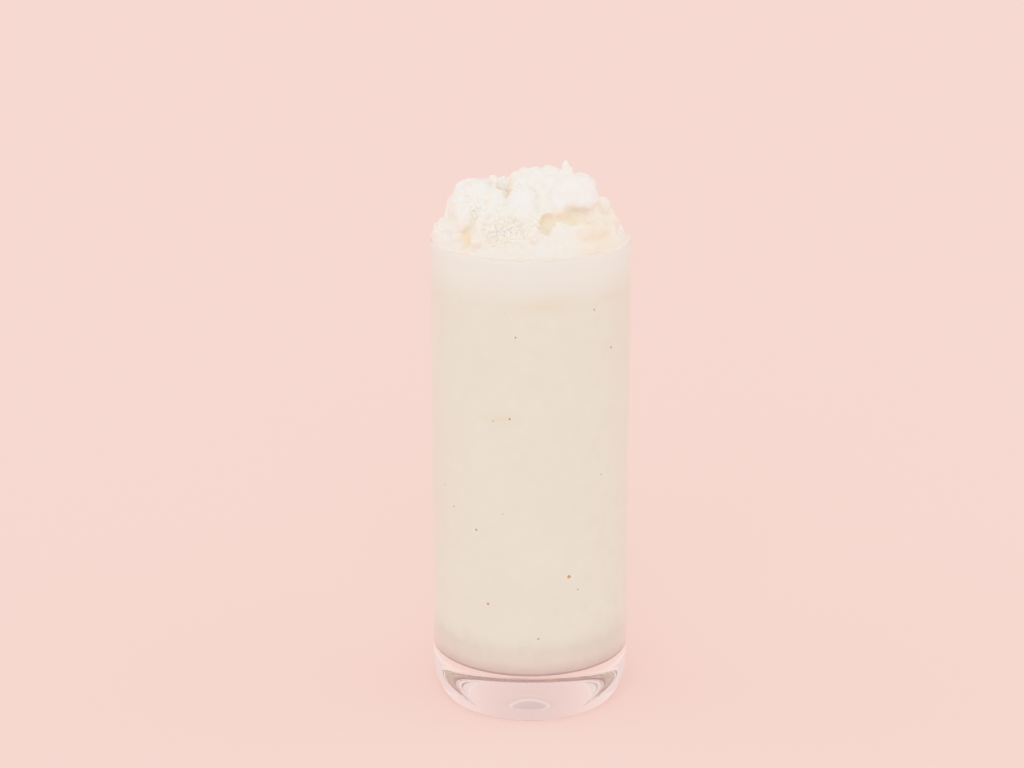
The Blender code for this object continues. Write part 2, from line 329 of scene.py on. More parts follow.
# The smoothie is fruit, milk and fine ice blended to a thick pale cream. It fills the tumbler
# from its floor and wets the wall, so its skin is set just into the glass. Its underside glows
# faintly in three tones, in place of the light that a thick base gathers.
INTO_WALL = 0.00008
SLUSH_DEPTH = 0.007
SMOOTHIE_INTO_SLUSH = 0.0012
SMOOTHIE_TOP = GLASS_HEIGHT - SLUSH_DEPTH + SMOOTHIE_INTO_SLUSH
SMOOTHIE_WAVE = 0.0010
WAVE_REACH = 0.006
TOP_ROUNDING = 0.00025
SMOOTHIE_COLOUR = (0.87, 0.857, 0.792)
SMOOTHIE_GOLD = (0.87, 0.825, 0.725)
PATCH_GOLD = (0.865, 0.795, 0.67)
# The slush's pale tone inside the glass, partly its own and partly painted light from above.
SLUSH_LIT_IN_GLASS = (0.955, 0.95, 0.915)
# Painted shade at the drink's foot: a thin dark pink line along its bottom corner and a softer shade
# fading up above it.
BOTTOM_SHADE_PINK = (0.34, 0.13, 0.09)
CLOUD_TINT = 0.35
PATCH_TINT = 0.7
BOTTOM_SHADE_STRENGTH = 0.9
LIT_BELOW_RIM = (0.005, 0.016)
CORNER_GLOW = (0.31, 0.265, 0.275)
MIDDLE_GLOW = (0.185, 0.165, 0.205)
RING_GLOW = (0.38, 0.36, 0.385)
FLOOR_STRENGTH = 0.28
FLOOR_GLOW_ENDS = 0.0008
CORNER_STRENGTH = 0.82
CORNER_GLOW_ENDS = 0.0100
FLOOR_ENDS = 0.0001
FLOOR_RING = (0.0220, 0.0195)
BOTTOM_SHADE_STARTS = (0.00011, 0.00003)
SHADE_LINE = (0.0011, 0.0027)
SHADE_TINGE = (0.0025, 0.0180)
SHADE_TINGE_STRENGTH = 0.48
GOLD_PATCHES = [(4.0, 140.0, 9.0, 2.2), (9.0, 142.5, 6.0, 1.4), (25.0, 141.0, 5.0, 2.0),
                (-9.0, 103.5, 4.0, 2.0)]
SMOOTHIE_TURNS = 240


def smoothie_profile():
    """The drink's section, from the middle of its top down its side to the middle of its floor."""
    inside = inner_radius(FLOOR_THICKNESS) + INTO_WALL
    low = FLOOR_THICKNESS - INTO_WALL
    corner = FLOOR_CORNER + INTO_WALL
    edge = inner_radius(SMOOTHIE_TOP) + INTO_WALL - TOP_ROUNDING
    top_out = np.linspace(0.0, edge, 12)[:-1]
    top = np.stack([top_out, np.full(len(top_out), SMOOTHIE_TOP)], axis=1)
    top = np.concatenate([top, arc((edge, SMOOTHIE_TOP - TOP_ROUNDING), TOP_ROUNDING, 90.0, 0.0, 6)])
    heights = np.linspace(SMOOTHIE_TOP - TOP_ROUNDING, low + corner, 160)[1:]
    side = np.stack([inner_radius(heights) + INTO_WALL, heights], axis=1)
    bend = arc((inside - corner, low + corner), corner, 0.0, -90.0, 16)[1:]
    floor_out = np.linspace(inside - corner, 0.0, 21)[1:]
    floor = np.stack([floor_out, np.full(len(floor_out), low)], axis=1)
    return np.concatenate([top, side, bend, floor])


def wave_top(points):
    """Lifts and lowers the drink's upper edge by three sines round the wall, fading out below it."""
    angle = np.arctan2(points[:, 1], points[:, 0])
    near_top = np.clip((points[:, 2] - (SMOOTHIE_TOP - WAVE_REACH)) / WAVE_REACH, 0.0, 1.0)
    wave = 0.5 * np.sin(3 * angle + 0.6) + 0.3 * np.sin(7 * angle + 2.0) + 0.2 * np.sin(12 * angle + 4.1)
    points[:, 2] += SMOOTHIE_WAVE * wave * near_top
    return points


def gold_share(points):
    """How golden the drink is at each point: a sum of soft oval patches on the side that is seen.

    A patch is its place across, its height and its two radii, in millimetres.
    """
    share = np.zeros(len(points))
    for across, height, wide, high in GOLD_PATCHES:
        gap = ((points[:, 0] * 1000 - across) / wide) ** 2 + ((points[:, 2] * 1000 - height) / high) ** 2
        share += np.exp(-gap) * (points[:, 1] < 0.0)
    return share


def fade(values, full, none):
    """1 where a value is at the first limit, evenly down to 0 at the second, and held beyond."""
    return np.clip((none - values) / (none - full), 0.0, 1.0)


def paint(thing, name, values):
    """Stores one number at each point of a piece, for its material to read."""
    layer = thing.data.attributes.new(name, "FLOAT", "POINT")
    layer.data.foreach_set("value", np.asarray(values, dtype=np.float32))


def read_paint(nodes, name):
    """Reads a stored number in a material."""
    made = nodes.new("ShaderNodeAttribute")
    made.attribute_name = name
    return made.outputs["Fac"]


smoothie_points, smoothie_faces = turn(smoothie_profile(), SMOOTHIE_TURNS)
smoothie = add_mesh("smoothie_fill", wave_top(smoothie_points), smoothie_faces)
above_floor = smoothie_points[:, 2] - FLOOR_THICKNESS
below_rim = GLASS_HEIGHT - smoothie_points[:, 2]
from_axis = np.hypot(smoothie_points[:, 0], smoothie_points[:, 1])
floor_glow = FLOOR_STRENGTH * fade(above_floor, 0.0, FLOOR_GLOW_ENDS)
corner_glow = CORNER_STRENGTH * fade(above_floor, 0.0, CORNER_GLOW_ENDS)
# The painted shade at the bottom: a thin dark line at the corner and a softer painted shade above it.
shade_line = fade(above_floor, *SHADE_LINE)
shade_tinge = SHADE_TINGE_STRENGTH * fade(above_floor, *SHADE_TINGE) ** 2
on_floor = fade(above_floor, 0.0, FLOOR_ENDS)
ring_share = fade(from_axis, *FLOOR_RING)
paint(smoothie, "gold", gold_share(smoothie_points))
paint(smoothie, "under", floor_glow + corner_glow)
paint(smoothie, "bottom_shade", fade(above_floor, *BOTTOM_SHADE_STARTS) * np.maximum(shade_line, shade_tinge))
paint(smoothie, "floor_ring", on_floor * ring_share)
paint(smoothie, "floor_middle", on_floor * (1.0 - ring_share))
paint(smoothie, "lit_near_rim", fade(below_rim, *LIT_BELOW_RIM))

cream, nodes, links, shader = new_material("blended_lychee")
mottle = noise_on_object(nodes, links, 220.0, 5.0, 0.6)
body = ramp(nodes, links, mottle, [(0.32, shade(SMOOTHIE_COLOUR, 0.975)), (0.5, SMOOTHIE_COLOUR),
                                   (0.7, shade(SMOOTHIE_COLOUR, 1.03))])
cloud = fit_range(nodes, links, noise_on_object(nodes, links, 45.0, 3.0), 0.45, 0.75, 0.0, CLOUD_TINT)
body = mix_colour(nodes, links, cloud, body, SMOOTHIE_GOLD)
gold = fit_range(nodes, links, read_paint(nodes, "gold"), 0.0, 1.0, 0.0, PATCH_TINT)
body = mix_colour(nodes, links, gold, body, PATCH_GOLD)
# Painted light: the drink's top few millimetres whiten to the slush's colour, partly the slush's own tone
# and partly light entering from above.
body = mix_colour(nodes, links, read_paint(nodes, "lit_near_rim"), body, SLUSH_LIT_IN_GLASS)
# Painted shade: the drink darkens to pink brown along its bottom edge.
bottom = fit_range(nodes, links, read_paint(nodes, "bottom_shade"), 0.0, 1.0, 0.0, BOTTOM_SHADE_STRENGTH)
body = mix_colour(nodes, links, bottom, body, BOTTOM_SHADE_PINK)
links.new(body, shader.inputs["Base Color"])
underside = mix_colour(nodes, links, read_paint(nodes, "floor_middle"), CORNER_GLOW, MIDDLE_GLOW)
underside = mix_colour(nodes, links, read_paint(nodes, "floor_ring"), underside, RING_GLOW)
links.new(underside, shader.inputs["Emission Color"])
links.new(read_paint(nodes, "under"), shader.inputs["Emission Strength"])
shader.inputs["Roughness"].default_value = 0.4
shader.inputs["IOR"].default_value = 1.35
shader.inputs["Specular IOR Level"].default_value = 0.2
smoothie.data.materials.append(cream)
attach(smoothie, "root")
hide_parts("smoothie")

# The heap is the same drink frozen harder: soft icy slush spooned up over the rim in humps,
# ridges and a pulled peak, with golden shade painted into the hollows between. It is worked out
# as a field that is below zero inside the slush: balls and ridges joined softly, hollows taken
# out softly.
GRID_STEP = 0.36
GRID_LOW = (-33.3, -33.3, -7.9)
GRID_HIGH = (33.3, 33.3, 28.6)
SOFT_JOIN = 1.7
SOFT_CUT = 1.5
MOUND_HEIGHT = 15.5
MOUND_RADIUS = 30.6
MOUND_BLUNTNESS = 4.5
BOTTOM_FAN_RADIUS = 29.5
BOTTOM_DROP = 0.15
SHARE_INTO_WALL = 0.85
HEAP_WIDEST = 32.1
WIDENS_FROM = 0.1
WIDENS_OVER = 1.5
UNEVENNESS = [(0.34, 7.5), (0.15, 3.4), (0.04, 1.7)]
DEPTH_BLUR = 1.6
DEEP_SHADE_SHARES = (0.56, 0.80)
DEEP_SHADE_TINT = 0.8
IN_GLASS_FADES = (0.0, 0.5)
SKIRT_FADES = (0.6, 3.6)
SLUSH_WHITE = (0.70, 0.682, 0.648)
SKIRT_CREAM = (0.65, 0.615, 0.57)
PINK_OFFSET_WHITE = (0.70, 0.70, 0.69)
# A golden painted shade for hollows and creases; the spots below are (centre, radii, strength) in
# millimetres.
HOLLOW_GOLD_SHADE = (0.755, 0.665, 0.53)
GOLDEN_SHADE_SPOTS = [
    ((12.0, -18.0, 10.4), (10.0, 5.0, 2.6), 0.8),
    ((4.6, -22.0, 8.5), (3.0, 4.0, 3.0), 0.6),
    ((-20.2, -21.0, 4.2), (2.6, 4.0, 3.0), 1.0),
    ((-7.8, -6.0, 18.6), (2.4, 8.0, 2.6), 0.6),
    ((-7.0, -24.0, 6.5), (6.5, 6.0, 4.5), 0.6),
    ((21.0, -20.0, 4.5), (8.0, 8.0, 4.5), 0.85),
    ((24.5, -8.0, 8.0), (4.0, 6.0, 5.0), 0.35),
]
# The smooth lumps that face the pink table are painted a cooler white, partly their own smooth ice and
# partly to offset the pink light the table throws on them.
PINK_OFFSET_SPOTS = [
    ((14.0, -15.0, 16.5), (8.0, 8.0, 5.5), 1.0),
    ((-2.5, -17.0, 14.5), (3.5, 7.0, 6.5), 1.0),
    ((-18.0, -8.0, 16.0), (8.0, 9.0, 6.0), 0.6),
    ((15.0, -22.0, 7.0), (8.0, 4.0, 2.5), 0.6),
]
SKIRT_HEIGHT = 0.5
SKIRT_BLEND = 3.0
BACK_LUMPS = 34
BACK_LUMP_RADIUS = 4.4
BACK_LUMPS_START = 8.0
GOLDEN_ANGLE = math.radians(137.5)

axes = [np.arange(low, high, GRID_STEP, dtype=np.float32) for low, high in zip(GRID_LOW, GRID_HIGH)]
grid_x, grid_y, grid_z = np.meshgrid(*axes, indexing="ij", sparse=True)
grid_out = np.sqrt(grid_x**2 + grid_y**2)
grid_shape = tuple(len(axis) for axis in axes)


def near(low, high):
    """The slices of the grid that hold a box, and the box's sparse coordinates."""
    cuts = []
    for axis in range(3):
        first = max(0, int((low[axis] - GRID_LOW[axis]) / GRID_STEP) - 1)
        last = min(grid_shape[axis], int((high[axis] - GRID_LOW[axis]) / GRID_STEP) + 2)
        cuts.append(slice(first, last))
    spots = (grid_x[cuts[0]], grid_y[:, cuts[1]], grid_z[:, :, cuts[2]])
    return tuple(cuts), spots


def soft_least(first, second, blend):
    """The smaller of two fields, rounded off over a blend width where they meet."""
    share = np.clip(0.5 + 0.5 * (second - first) / blend, 0.0, 1.0)
    return second + (first - second) * share - blend * share * (1.0 - share)


def egg(spots, centre, radii):
    """Distance to an egg, near enough: with k the point's length in radii, k (k - 1) over k's slope."""
    gaps = [spot - middle for spot, middle in zip(spots, centre)]
    length = np.sqrt(sum((gap / radius) ** 2 for gap, radius in zip(gaps, radii))) + 1e-6
    slope = np.sqrt(sum((gap / radius**2) ** 2 for gap, radius in zip(gaps, radii))) + 1e-6
    return length * (length - 1.0) / slope


def ridge(spots, start, end, first_radius, last_radius):
    """Distance to a rod between two points whose radius runs evenly from one to the other."""
    run = np.array(end, dtype=np.float32) - np.array(start, dtype=np.float32)
    gaps = [spot - middle for spot, middle in zip(spots, start)]
    along = sum(gap * step for gap, step in zip(gaps, run)) / float(run @ run)
    along = np.clip(along, 0.0, 1.0)
    away = np.sqrt(sum((gap - step * along) ** 2 for gap, step in zip(gaps, run)))
    return away - (last_radius + (first_radius - last_radius) * (1.0 - along))


def add_egg(field, centre, radii, blend=SOFT_JOIN):
    """Joins an egg to the field."""
    reach = np.array(radii) + blend * 2.0
    cuts, spots = near(np.array(centre) - reach, np.array(centre) + reach)
    field[cuts] = soft_least(field[cuts], egg(spots, centre, radii), blend)


def add_ridge(field, start, end, first_radius, last_radius, blend=SOFT_JOIN):
    """Joins a ridge to the field."""
    reach = max(first_radius, last_radius) + blend * 2.0
    cuts, spots = near(np.minimum(start, end) - reach, np.maximum(start, end) + reach)
    rod = ridge(spots, start, end, first_radius, last_radius)
    field[cuts] = soft_least(field[cuts], rod, blend)


def cut_ridge(field, start, end, first_radius, last_radius, blend=SOFT_CUT):
    """Takes a ridge-shaped hollow out of the field."""
    reach = max(first_radius, last_radius) + blend * 2.0
    cuts, spots = near(np.minimum(start, end) - reach, np.maximum(start, end) + reach)
    rod = ridge(spots, start, end, first_radius, last_radius)
    field[cuts] = -soft_least(-field[cuts], rod, blend)


def mound_height(out):
    """The mound's height over the rim at a distance out from its middle."""
    return MOUND_HEIGHT * (1.0 - (out / MOUND_RADIUS) ** MOUND_BLUNTNESS)


def mound():
    """Distance to the mound, near enough: the height over it divided by its slope's length."""
    share = grid_out / MOUND_RADIUS
    slope = MOUND_HEIGHT * MOUND_BLUNTNESS / MOUND_RADIUS * share ** (MOUND_BLUNTNESS - 1)
    return ((grid_z - mound_height(grid_out)) / np.sqrt(1.0 + slope**2)).astype(np.float32)


def waves(seed, length):
    """Seeded noise over the grid with one wave length, made by keeping one ring of its spectrum."""
    random = np.random.default_rng(seed).standard_normal(grid_shape).astype(np.float32)
    spectrum = np.fft.rfftn(random)
    turns = np.sqrt(
        np.fft.fftfreq(grid_shape[0], GRID_STEP)[:, None, None] ** 2
        + np.fft.fftfreq(grid_shape[1], GRID_STEP)[None, :, None] ** 2
        + np.fft.rfftfreq(grid_shape[2], GRID_STEP)[None, None, :] ** 2
    )
    spectrum *= np.exp(-(((turns * length - 1.0) / 0.45) ** 2))
    made = np.fft.irfftn(spectrum, s=grid_shape).astype(np.float32)
    return made / made.std()


def add_left_lumps(field):
    """The broad left hump, its tongue and thin ridge, and the nub that stands on its right."""
    add_egg(field, (-17.4, -1.5, 9.6), (9.3, 13.5, 10.2))
    add_egg(field, (-12.0, -9.5, 11.8), (6.4, 7.0, 6.0))
    add_egg(field, (-24.8, -3.0, 2.5), (6.6, 9.5, 5.4))
    add_egg(field, (-17.2, -13.0, 11.2), (2.8, 2.8, 3.2))
    add_ridge(field, (-20.6, -14.0, 11.5), (-20.9, -17.9, 8.6), 3.2, 2.2, blend=1.2)
    add_ridge(field, (-14.6, -18.8, 10.8), (-16.7, -23.8, 3.6), 2.0, 1.7, blend=1.1)
    add_ridge(field, (-11.9, -5.0, 14.0), (-11.9, -4.0, 20.3), 2.2, 1.2, blend=1.1)


def add_middle_lumps(field):
    """The flat-topped middle hump, the smooth lobe down its front, and the small bumps beside them."""
    add_egg(field, (-2.2, -1.5, 16.0), (5.4, 9.5, 6.8))
    add_egg(field, (1.8, -1.5, 16.1), (5.4, 9.0, 6.8))
    add_ridge(field, (-2.8, -12.5, 14.6), (-2.0, -22.2, 9.8), 4.7, 3.3, blend=1.0)
    add_ridge(field, (4.2, -9.0, 15.0), (4.8, -16.5, 13.6), 3.8, 2.4, blend=1.0)
    add_egg(field, (5.4, -1.0, 21.6), (2.3, 2.3, 2.2), blend=0.9)
    add_egg(field, (8.2, -2.5, 20.6), (3.0, 3.5, 2.8), blend=0.9)
    add_egg(field, (6.4, -6.5, 18.6), (3.2, 4.0, 3.2), blend=1.2)
    add_egg(field, (1.0, -25.6, 6.2), (2.7, 2.5, 2.5), blend=1.2)
    add_egg(field, (-8.5, -20.5, 8.0), (4.2, 4.4, 4.2))
    add_egg(field, (-11.8, -22.2, 4.6), (3.6, 3.4, 4.2), blend=2.2)
    add_egg(field, (12.0, -22.0, 1.6), (9.0, 5.0, 3.2))


def add_right_lumps(field):
    """The smooth lump that overhangs, its sharp peak, the ledge below it and the right slope's bumps."""
    add_egg(field, (13.4, -10.8, 17.2), (7.0, 7.4, 5.5), blend=1.2)
    add_egg(field, (13.9, -12.2, 14.9), (7.6, 7.2, 3.6), blend=1.8)
    add_egg(field, (8.8, -14.6, 14.2), (3.0, 3.2, 2.6), blend=1.5)
    add_egg(field, (16.0, -2.0, 15.8), (4.6, 6.0, 5.6))
    add_ridge(field, (11.2, -5.0, 20.4), (11.0, -3.5, 25.5), 4.0, 0.4, blend=1.0)
    add_ridge(field, (8.4, -23.0, 6.2), (15.8, -20.6, 6.3), 2.6, 2.6)
    add_ridge(field, (15.8, -20.6, 6.3), (22.4, -13.8, 6.2), 2.6, 2.2)
    add_egg(field, (21.8, -3.0, 10.6), (3.6, 4.6, 3.6), blend=1.2)
    add_egg(field, (24.0, -7.0, 6.4), (3.8, 4.4, 3.6), blend=1.2)


def add_back_lumps(field):
    """The side away from the viewer: lumps a golden angle apart on the mound, their sizes swinging."""
    for index in range(BACK_LUMPS):
        swing = math.sin(2.3 * index + 0.7)
        out = MOUND_RADIUS * (0.25 + 0.62 * math.sqrt(index / BACK_LUMPS))
        x = out * math.cos(GOLDEN_ANGLE * index)
        y = out * math.sin(GOLDEN_ANGLE * index)
        if y < BACK_LUMPS_START:
            continue
        radius = BACK_LUMP_RADIUS * (1.0 + 0.3 * swing)
        height = mound_height(out) - 0.55 * radius
        add_egg(field, (x, y, height), (radius, radius, radius * (1.0 + 0.2 * swing)))


def cut_hollows(field):
    """The deep hollow under the overhanging lump, the small one at the left, and two valleys."""
    cut_ridge(field, (5.2, -21.2, 10.0), (13.0, -19.5, 10.3), 1.9, 2.3, blend=2.0)
    cut_ridge(field, (13.0, -19.5, 10.3), (22.8, -13.0, 9.8), 2.3, 1.6, blend=2.0)
    cut_ridge(field, (5.2, -21.6, 10.0), (4.0, -24.8, 7.6), 1.9, 1.5, blend=2.2)
    cut_ridge(field, (-20.4, -21.6, 6.4), (-20.4, -22.0, 3.4), 2.2, 2.0, blend=0.7)
    cut_ridge(field, (1.4, -14.0, 18.4), (1.9, -20.0, 13.4), 0.9, 0.8, blend=1.0)
    cut_ridge(field, (-8.0, 2.0, 19.2), (-7.6, 16.0, 20.2), 2.6, 3.2, blend=1.5)


def grid_spot(centre, radii):
    """A soft spot on the grid: 1 in its middle, falling off as a bell over its three radii."""
    parts = zip((grid_x, grid_y, grid_z), centre, radii)
    return np.exp(-sum(((grid - middle) / radius) ** 2 for grid, middle, radius in parts))


def grain_share():
    """Where the slush is coarse: the patch at the front left, and soft random patches elsewhere."""
    patch = grid_spot((-7.0, -24.0, 7.0), (6.5, 7.0, 5.5))
    elsewhere = np.clip(waves(11, 14.0) - 0.9, 0.0, 1.0) * 0.4
    return np.clip(1.3 * patch + elsewhere, 0.0, 1.0)


def smooth_share():
    """Where the slush is smooth: the overhanging lump, the middle lobe, the right slope, the skirt."""
    lump = grid_spot((13.0, -13.0, 18.0), (8.5, 9.0, 6.5))
    lobe = grid_spot((-1.0, -17.0, 15.0), (5.0, 9.0, 7.0))
    skirt = fade(grid_z, 1.0, 4.0) * np.ones_like(lump)
    slope = grid_spot((16.5, -19.0, 6.0), (11.0, 8.0, 6.0))
    return np.clip(lump + lobe + skirt + slope, 0.0, 1.0)


def roughen(field, grains, smooth):
    """Adds the slush's own unevenness, long waves and short, and grains where it is coarse."""
    uneven = sum(size * waves(seed, length) for seed, (size, length) in enumerate(UNEVENNESS, 1))
    coarse = np.clip(0.17 * waves(4, 2.3), -0.35, 0.3) - 0.04
    return field + uneven * (1.0 - 0.8 * smooth) + coarse * grains


def fit_room(field):
    """Keeps the heap in the tumbler's mouth: just into the wall, along the rim's curve, wider above."""
    mouth = (inner_radius(GLASS_HEIGHT) + INTO_WALL * SHARE_INTO_WALL) * 1000
    rim = RIM_THICKNESS / 2.0 * 1000
    along_rim = np.clip((grid_z + rim) / rim, 0.0, 1.0)
    spread = np.clip((grid_z - WIDENS_FROM) / WIDENS_OVER, 0.0, 1.0)
    wall = mouth + rim * (1.0 - np.sqrt(1.0 - along_rim**2)) + (HEAP_WIDEST - mouth - rim) * spread
    floor = -SLUSH_DEPTH * 1000 - BOTTOM_DROP
    return np.maximum(np.maximum(field, grid_out - wall), floor - grid_z)


def skin_of(field):
    """Surface nets. Each grid cell that the field's zero crosses gets one point, the mean of the
    crossings on its edges; each crossed grid edge gets one face, round its four cells."""
    cells = tuple(size - 1 for size in field.shape)
    sums = np.zeros((3, int(np.prod(cells))))
    counts = np.zeros(int(np.prod(cells)))
    quads = []
    for axis in range(3):
        ahead = np.moveaxis(field, axis, 0)
        crossed = (ahead[:-1] < 0) != (ahead[1:] < 0)
        spots = np.argwhere(crossed)
        first = ahead[:-1][crossed]
        second = ahead[1:][crossed]
        others = [other for other in range(3) if other != axis]
        edge = np.empty((len(spots), 3))
        edge[:, axis] = spots[:, 0] + first / (first - second)
        edge[:, others[0]] = spots[:, 1]
        edge[:, others[1]] = spots[:, 2]
        corner = np.empty((len(spots), 3), dtype=np.int64)
        corner[:, [axis, *others]] = spots
        side, up = (axis + 1) % 3, (axis + 2) % 3
        ring = []
        for back_side, back_up in ((1, 1), (0, 1), (0, 0), (1, 0)):
            cell = corner.copy()
            cell[:, side] -= back_side
            cell[:, up] -= back_up
            ids = np.ravel_multi_index(cell.T, cells)
            ring.append(ids)
            counts += np.bincount(ids, minlength=len(counts))
            for part in range(3):
                sums[part] += np.bincount(ids, weights=edge[:, part], minlength=len(counts))
        quad = np.stack(ring, axis=1)
        outward = first < 0
        quads.append(np.where(outward[:, None], quad, quad[:, ::-1]))
    used = np.flatnonzero(counts)
    names = np.full(len(counts), -1)
    names[used] = np.arange(len(used))
    return (sums[:, used] / counts[used]).T, names[np.concatenate(quads)]


def plain_bottom(points, quads):
    """Puts one fan round a middle point in place of the flat bottom's many small faces.

    The fan has a triangle on each edge that only one of the faces taken out has.
    """
    low = points[:, 2].min()
    flat = (points[:, 2] < low + 0.02) & (np.hypot(points[:, 0], points[:, 1]) < BOTTOM_FAN_RADIUS)
    out = flat[quads].all(axis=1)
    edges = np.concatenate([quads[out][:, [side, (side + 1) % 4]] for side in range(4)])
    there = edges[:, 0] * len(points) + edges[:, 1]
    back = edges[:, 1] * len(points) + edges[:, 0]
    rim = edges[~np.isin(there, back)]
    kept = np.zeros(len(points), dtype=bool)
    kept[quads[~out]] = True
    names = np.cumsum(kept) - 1
    middle = np.full((len(rim), 1), kept.sum())
    fan = np.concatenate([names[rim], middle], axis=1)
    return np.concatenate([points[kept], [[0.0, 0.0, low]]]), [*names[quads[~out]], *fan]


def blurred(field, width):
    """How much slush lies round each grid point: the solid blurred by a bell of a given width."""
    spectrum = np.fft.rfftn((field < 0).astype(np.float32))
    for axis, size in enumerate(grid_shape):
        turns = np.fft.rfftfreq(size, GRID_STEP) if axis == 2 else np.fft.fftfreq(size, GRID_STEP)
        bell = np.exp(-2.0 * (np.pi * turns * width) ** 2)
        spectrum *= bell.reshape([-1 if other == axis else 1 for other in range(3)])
    return np.fft.irfftn(spectrum, s=grid_shape).astype(np.float32)


def read_grid(values, places):
    """A grid's value at the grid point nearest to each place."""
    ids = np.clip(np.rint(places).astype(int), 0, np.array(grid_shape) - 1)
    return values[ids[:, 0], ids[:, 1], ids[:, 2]]


heap_field = soft_least(mound(), grid_z - SKIRT_HEIGHT, SKIRT_BLEND)
add_left_lumps(heap_field)
add_middle_lumps(heap_field)
add_right_lumps(heap_field)
add_back_lumps(heap_field)
cut_hollows(heap_field)
coarse_share = grain_share()
even_share = smooth_share()
heap_field = fit_room(roughen(heap_field, coarse_share, even_share))
heap_places, heap_quads = skin_of(heap_field)
heap_mm, heap_faces = plain_bottom(heap_places * GRID_STEP + np.array(GRID_LOW), heap_quads)
heap_places = (heap_mm - np.array(GRID_LOW)) / GRID_STEP
heap = add_mesh("slush_heap", heap_mm * 0.001 + np.array([0.0, 0.0, GLASS_HEIGHT]), heap_faces)
paint(heap, "depth", read_grid(blurred(heap_field, DEPTH_BLUR), heap_places))
paint(heap, "in_glass", fade(heap_mm[:, 2], *IN_GLASS_FADES))
paint(heap, "skirt", fade(heap_mm[:, 2], *SKIRT_FADES))


def soft_spots(places, spots):
    """How strongly a tint shows at each point: a sum of soft balls (centre, radii, strength)."""
    share = np.zeros(len(places))
    for centre, radii, strength in spots:
        share += strength * np.exp(-(((places - np.array(centre)) / np.array(radii)) ** 2).sum(axis=1))
    return np.clip(share, 0.0, 1.0)


paint(heap, "golden", soft_spots(heap_mm, GOLDEN_SHADE_SPOTS))
paint(heap, "pink_offset", soft_spots(heap_mm, PINK_OFFSET_SPOTS))

ice, nodes, links, shader = new_material("icy_slush")
flecks = noise_on_object(nodes, links, 700.0, 3.0, 0.6)
white = ramp(nodes, links, flecks, [(0.35, shade(SLUSH_WHITE, 0.98)), (0.65, shade(SLUSH_WHITE, 1.03))])
# Painted shade: where much slush lies round a point, in hollows and creases, the white turns golden.
deep = fit_range(nodes, links, read_paint(nodes, "depth"), *DEEP_SHADE_SHARES, 0.0, DEEP_SHADE_TINT)
tint = mix_colour(nodes, links, deep, white, HOLLOW_GOLD_SHADE)
tint = mix_colour(nodes, links, read_paint(nodes, "skirt"), tint, SKIRT_CREAM)
# Painted against light: the front lumps turn a cooler white, offsetting the table's pink bounce light.
tint = mix_colour(nodes, links, read_paint(nodes, "pink_offset"), tint, PINK_OFFSET_WHITE)
# Painted shade: the listed hollows, under the overhanging lump and at the left, are painted the same
# golden shade.
tint = mix_colour(nodes, links, read_paint(nodes, "golden"), tint, HOLLOW_GOLD_SHADE)
# Inside the glass the slush takes the same whiter colour, partly its own and partly painted light from
# above.
tint = mix_colour(nodes, links, read_paint(nodes, "in_glass"), tint, SLUSH_LIT_IN_GLASS)
links.new(tint, shader.inputs["Base Color"])
shader.inputs["Roughness"].default_value = 0.35
shader.inputs["IOR"].default_value = 1.33
links.new(fit_range(nodes, links, read_paint(nodes, "in_glass"), 0.0, 1.0, 1.0, 0.0),
          shader.inputs["Subsurface Weight"])
shader.inputs["Subsurface Radius"].default_value = (1.0, 0.85, 0.65)
shader.inputs["Subsurface Scale"].default_value = 0.0022
links.new(bump(nodes, links, flecks, 0.00025, 0.35), shader.inputs["Normal"])
heap.data.materials.append(ice)
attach(heap, "root")
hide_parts("slush_crown")

# Loose grains of ice lie on the heap: whitish irregular chips about a millimetre across, crowded
# on the coarse patch at the front and thinly strewn elsewhere. They are frozen to the slush.
GRAINS = 420
GRAIN_SIZE = (0.30, 0.75)
GRAIN_SINK = 0.35
GRAIN_CLEAR_OF_SKIRT = 1.6
GRAIN_UNEVENNESS = 0.12
STRAY_GRAINS = 0.006
HEAP_MIDDLE = (0.0, 0.0, 8.0)
GRAIN_COLOURS = [(0.35, (0.86, 0.78, 0.64)), (0.65, (0.87, 0.85, 0.80))]


def repeat_faces(faces, points_each, count):
    """The faces of many like shapes whose points follow one another in one mesh."""
    starts = range(0, count * points_each, points_each)
    return [[corner + start for corner in face] for start in starts for face in faces]


def ball_points(rings, turns):
    """A unit ball's points: each ring is (sin a cos b, sin a sin b, cos a), then the two poles."""
    down = np.linspace(0.0, np.pi, rings + 2)[1:-1, None]
    round_it = np.linspace(0.0, 2.0 * np.pi, turns, endpoint=False)[None, :]
    ring = np.stack([np.sin(down) * np.cos(round_it), np.sin(down) * np.sin(round_it),
                     np.cos(down) * np.ones_like(round_it)], axis=2)
    return np.concatenate([ring.reshape(-1, 3), [[0.0, 0.0, 1.0], [0.0, 0.0, -1.0]]])


def random_turns(chance, count):
    """Seeded turns in space, each a 3 by 3 array, made by squaring up random numbers.

    Half of them come out mirrored; times their own determinant they are all plain turns.
    """
    squared_up = np.linalg.qr(chance.standard_normal((count, 3, 3)))[0]
    return squared_up * np.linalg.det(squared_up)[:, None, None]


def strew(name, places, sizes, seed, unevenness, rings=3, turns=6):
    """One mesh of many small chips: a coarse ball, stretched, dented and turned anew for every place."""
    chance = np.random.default_rng(seed)
    ball = ball_points(rings, turns)
    count = len(places)
    dents = 1.0 + unevenness * chance.uniform(-1.0, 1.0, (count, len(ball), 1))
    chips = ball[None] * dents * (sizes[:, None] * chance.uniform(0.6, 1.3, (count, 3)))[:, None, :]
    turned = np.einsum("nij,nkj->nki", random_turns(chance, count), chips)
    points = (turned + places[:, None, :]).reshape(-1, 3)
    faces = repeat_faces(ring_faces(rings, turns), len(ball), count)
    return add_mesh(name, points, faces, smooth=False)


